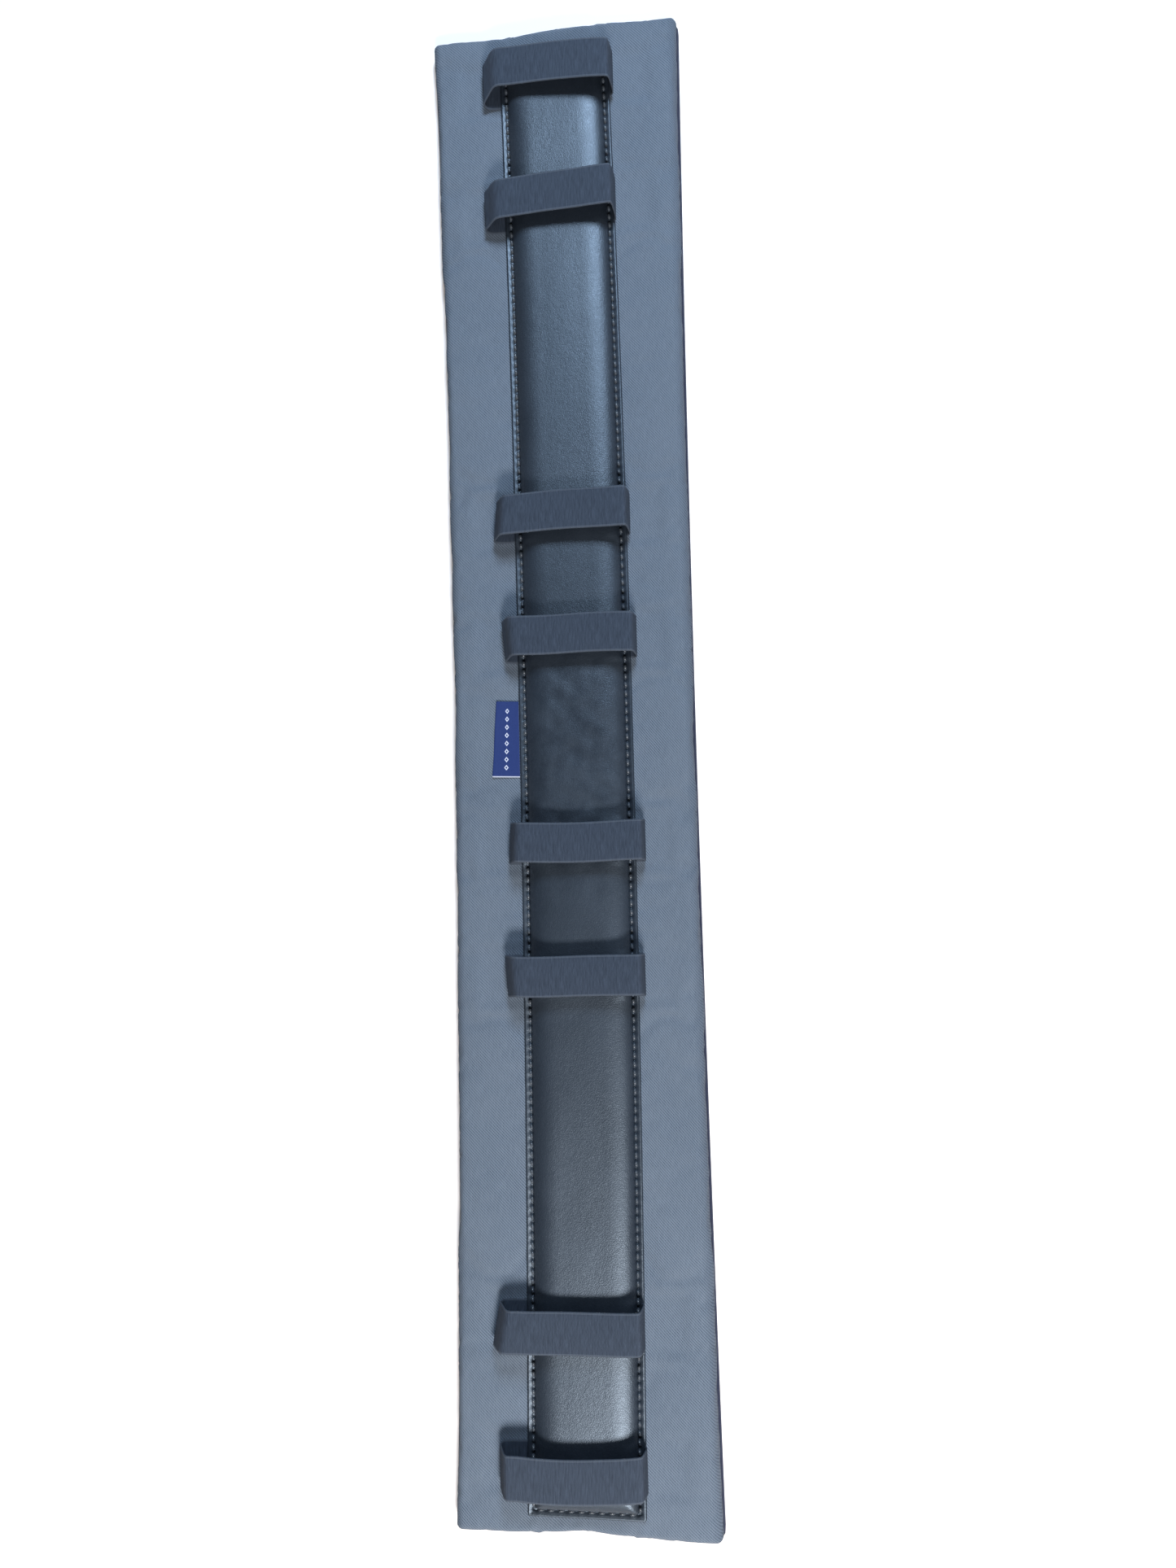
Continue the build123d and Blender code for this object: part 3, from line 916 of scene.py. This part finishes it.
def smooth_line(points, count):
    """A Catmull-Rom curve through the points, cut into equal steps."""
    p = np.array([2 * points[0] - points[1], *points, 2 * points[-1] - points[-2]])
    t = np.linspace(0, 1, 24, endpoint=False)[:, None]
    parts = []
    for a, b, c, d in zip(p, p[1:], p[2:], p[3:]):
        parts.append(0.5 * (2 * b + (c - a) * t + (2 * a - 5 * b + 4 * c - d) * t**2
                            + (3 * b - a - 3 * c + d) * t**3))
    line = np.vstack([*parts, points[-1:]])
    run = np.concatenate([[0], np.cumsum(np.linalg.norm(np.diff(line, axis=0), axis=1))])
    places = np.linspace(0, run[-1], count)
    return np.stack([np.interp(places, run, line[:, i]) for i in range(2)], 1), places


def keeper_outline(way, share):
    """The tape's middle line as (x, z) from the channel's middle. Share is 0 at the -Y rim, 1 at +Y."""
    left = (way["left_near"] + (way["left_far"] - way["left_near"]) * share) * MM
    right = way["right"] * MM
    shoulder = way["shoulder"] * MM
    left_up, right_up = way["left_up"] * MM, way["right_up"] * MM
    rise = TOP - FOOT
    inside = CHANNEL_HALF - 5 * MM
    return np.array([
        (-inside, FOOT),
        (-CHANNEL_HALF - 1.5 * MM, FOOT + 0.1 * MM),
        (left + 3.2 * MM, FOOT + rise * 0.05),
        (left + 0.6 * MM, FOOT + rise * 0.17),
        (left, FOOT + rise * 0.32),
        (left + shoulder * 0.30, FOOT + rise * 0.56 + left_up * 0.25),
        (left + shoulder * 0.63, FOOT + rise * 0.82 + left_up * 0.6),
        (left + shoulder * 0.95, FOOT + rise * 0.96 + left_up * 0.9),
        (left + shoulder * 1.50, FOOT + rise * 1.00 + left_up),
        (left * 0.35, TOP + left_up * 0.55),
        (right * 0.30, TOP + right_up * 0.45),
        (right - 14 * MM, TOP + right_up),
        (right - 3.4 * MM, TOP + right_up * 0.9),
        (right - 1.4 * MM, FOOT + rise * 0.93 + right_up * 0.5),
        (right - 0.6 * MM, FOOT + rise * 0.72),
        (right, FOOT + rise * 0.40),
        (right - 0.3 * MM, FOOT + rise * 0.17),
        (right - 2.4 * MM, FOOT + rise * 0.03),
        (inside + 1 * MM, FOOT),
    ])


def make_keeper(number, material):
    """One strip of elastic tape: sewn flat under the leather, and free over the channel."""
    way = KEEPER_WAYS[number]
    y_middle = KEEPERS[number]
    steps = 260
    across = 13
    middle = float(settle(np.array(0.0), np.array(y_middle)))
    skew = tan(radians(way["skew"]))
    surface = np.zeros((steps, across, 3))
    cloth = np.zeros((steps, across, 2))
    phase = chance.uniform(0, 2 * pi, 3)
    for column, share in enumerate(np.linspace(0, 1, across)):
        line, run = smooth_line(keeper_outline(way, share), steps)
        x, z = line.T
        free = smoothstep(z, FOOT + 1 * MM, TOP)
        off = (share - 0.5) * 2 * TAPE_HALF
        sag = way["sag"] * MM * np.clip(1 - (x / (38 * MM)) ** 2, 0, 1)
        wave = np.sin(x / (15 * MM) + phase[0]) * 0.35 * MM + np.sin(x / (9 * MM) + phase[1]) * 0.12 * MM
        moved = way["lean"] * MM + skew * x + wave - sag - off * way["neck"]
        cup = (2 * share - 1) ** 2 * 0.35 * MM
        top_middle = np.argmin(np.abs(x) + np.where(z > (FOOT + TOP) / 2, 0, 1))
        surface[:, column, 0] = middle + x
        surface[:, column, 1] = y_middle + off + free * moved
        surface[:, column, 2] = z + free * (np.sin(x / (14 * MM) + phase[2]) * 0.25 * MM - cup)
        cloth[:, column] = np.stack([run - run[top_middle], np.full(steps, off)], 1)
    along = np.gradient(surface, axis=0)
    over = np.gradient(surface, axis=1)
    normal = np.cross(along, over)
    normal /= np.linalg.norm(normal, axis=2, keepdims=True)
    over /= np.linalg.norm(over, axis=2, keepdims=True)
    # The faces stop short of the rims, and every other step of a rim stands out as a small nub.
    bevel = 0.24 * MM
    nubs = (np.arange(steps) % 2 * 0.12 + 0.28)[:, None, None] * MM
    face = surface.copy()
    face[:, 0] += over[:, 0] * bevel
    face[:, -1] -= over[:, -1] * bevel
    outer = face + normal * TAPE_THICK / 2
    inner = face - normal * TAPE_THICK / 2
    far_rim = surface[:, -1:] + over[:, -1:] * nubs
    near_rim = surface[:, :1] - over[:, :1] * nubs
    points = np.concatenate([outer, far_rim, inner[:, ::-1], near_rim], axis=1)
    cloth = np.concatenate([cloth, cloth[:, -1:], cloth[:, ::-1], cloth[:, :1]], axis=1)
    width = points.shape[1]
    cells = np.arange(steps * width).reshape(steps, width)
    side = np.roll(cells, -1, 1)
    faces = np.stack([cells[:-1], cells[1:], side[1:], side[:-1]], -1).reshape(-1, 4)
    strip = Arrays(points.reshape(-1, 3), cloth.reshape(-1, 2), [faces])
    keeper = object_of(f"keeper_{number}", strip.points, faces, strip.cloth, strip.normals(), material)
    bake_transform(keeper)
    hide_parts(f"keeper_base_{number}", f"keeper_loop_{number}")


# ---------------------------------------------------------------- the label


def make_label():
    """One woven flap, sewn in slightly askew, with a soft wave along its free edge and a lifted corner."""
    length = 47 * MM
    width = 15.5 * MM
    turn = radians(-4)
    columns = 16
    rows = 48
    out_from_seam = np.linspace(0, width, columns)
    along_seam = np.linspace(-0.5, 0.5, rows) * length
    u, v = (a.ravel() for a in np.meshgrid(out_from_seam, along_seam, indexing="ij"))
    reach = u / width
    x = LABEL_HIGH.x - u * np.cos(turn) - v * np.sin(turn) * reach
    y = LABEL_Y + v - u * np.sin(turn) * 0.6
    wave = np.sin(v / (7 * MM) + 0.8) * 0.28 * MM + np.sin(v / (15 * MM)) * 0.35 * MM
    corner = smoothstep(-v, 8 * MM, 24 * MM) * 0.9 * MM
    z = LABEL_LOW.z + 0.12 * MM + reach**1.5 * (0.45 * MM + wave + corner)
    top = np.stack([x, y, z + 0.4 * MM], 1)
    bottom = np.stack([x, y, z], 1)
    quads, rim = grid(columns, rows)
    quads = quads[:, [0, 3, 2, 1]]  # u runs towards -X, so the faces turn the other way
    count = len(top)
    sides = np.stack([rim, np.roll(rim, -1), np.roll(rim, -1) + count, rim + count], 1)
    flap = Arrays(np.vstack([top, bottom]), np.vstack([np.stack([u, v], 1)] * 2),
                  [quads, quads[:, ::-1] + count, sides])
    label = object_of("woven_label_flap", flap.points, flap.all_faces(), flap.cloth, flap.normals(),
                      label_weave(length, width))
    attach(label, "label")
    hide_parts("woven_label")


# ---------------------------------------------------------------- floor, light and camera


def make_floor():
    """A pale floor, six metres square, just below the lining."""
    count = 24
    places = np.linspace(-3, 3, count)
    x, y = (a.ravel() for a in np.meshgrid(places, places, indexing="ij"))
    quads, _ = grid(count, count)
    floor = plain_object("floor", np.stack([x, y, np.full_like(x, -0.05 * MM)], 1), quads)
    floor.data.materials.append(floor_surface())


def add_light(name, place, target, size, power, colour):
    """A rectangular lamp at a place, turned to a target. Power is in watts."""
    data = bpy.data.lights.new(name, "AREA")
    data.shape = "RECTANGLE"
    data.size, data.size_y = size
    data.energy = power
    data.color = colour
    light = bpy.data.objects.new(name, data)
    light.location = place
    aim = np.array(target) - np.array(place)
    light.rotation_euler = Vector(aim).to_track_quat("-Z", "Y").to_euler()
    bpy.context.scene.collection.objects.link(light)


def make_lights():
    """A lamp beyond each end of the pad gives the leather its sheen, and a weak one fills the shadows."""
    world = bpy.data.worlds.new("studio")
    world.use_nodes = True
    background = world.node_tree.nodes["Background"]
    background.inputs["Color"].default_value = (0.90, 0.95, 1.0, 1)
    background.inputs["Strength"].default_value = 0.09
    bpy.context.scene.world = world
    add_light("far_key", (0.31, 1.05, 1.05), (0, 0.25, 0), (0.40, 0.45), 25.5, (0.66, 0.81, 0.98))
    add_light("near_key", (0.32, -1.15, 1.05), (0, -0.25, 0), (0.5, 0.28), 32, (0.98, 0.98, 0.98))
    add_light("side_fill", (1.1, 0.0, 0.9), (0, 0, 0), (0.5, 1.8), 1, (0.95, 0.97, 1.0))


def make_camera():
    """The camera's place and lens were fitted to the pad's four corners."""
    data = bpy.data.cameras.new("camera")
    data.sensor_width = 36
    data.lens = 27.09
    camera = bpy.data.objects.new("camera", data)
    camera.location = (0.1130, -0.0765, 0.7223)
    camera.rotation_euler = Euler((radians(4.083), radians(8.253), radians(-1.411)), "XYZ")
    bpy.context.scene.collection.objects.link(camera)
    bpy.context.scene.camera = camera


# ---------------------------------------------------------------- everything

make_camera()
make_lights()
make_floor()
make_foam(foam())
make_cover(twill())
make_lining(knit())
make_filler(felt())
make_leather(leather())
make_stitches(thread())
tape = elastic()
for number in KEEPERS:
    make_keeper(number, tape)
make_label()
bpy.context.scene.view_settings.view_transform = "Standard"
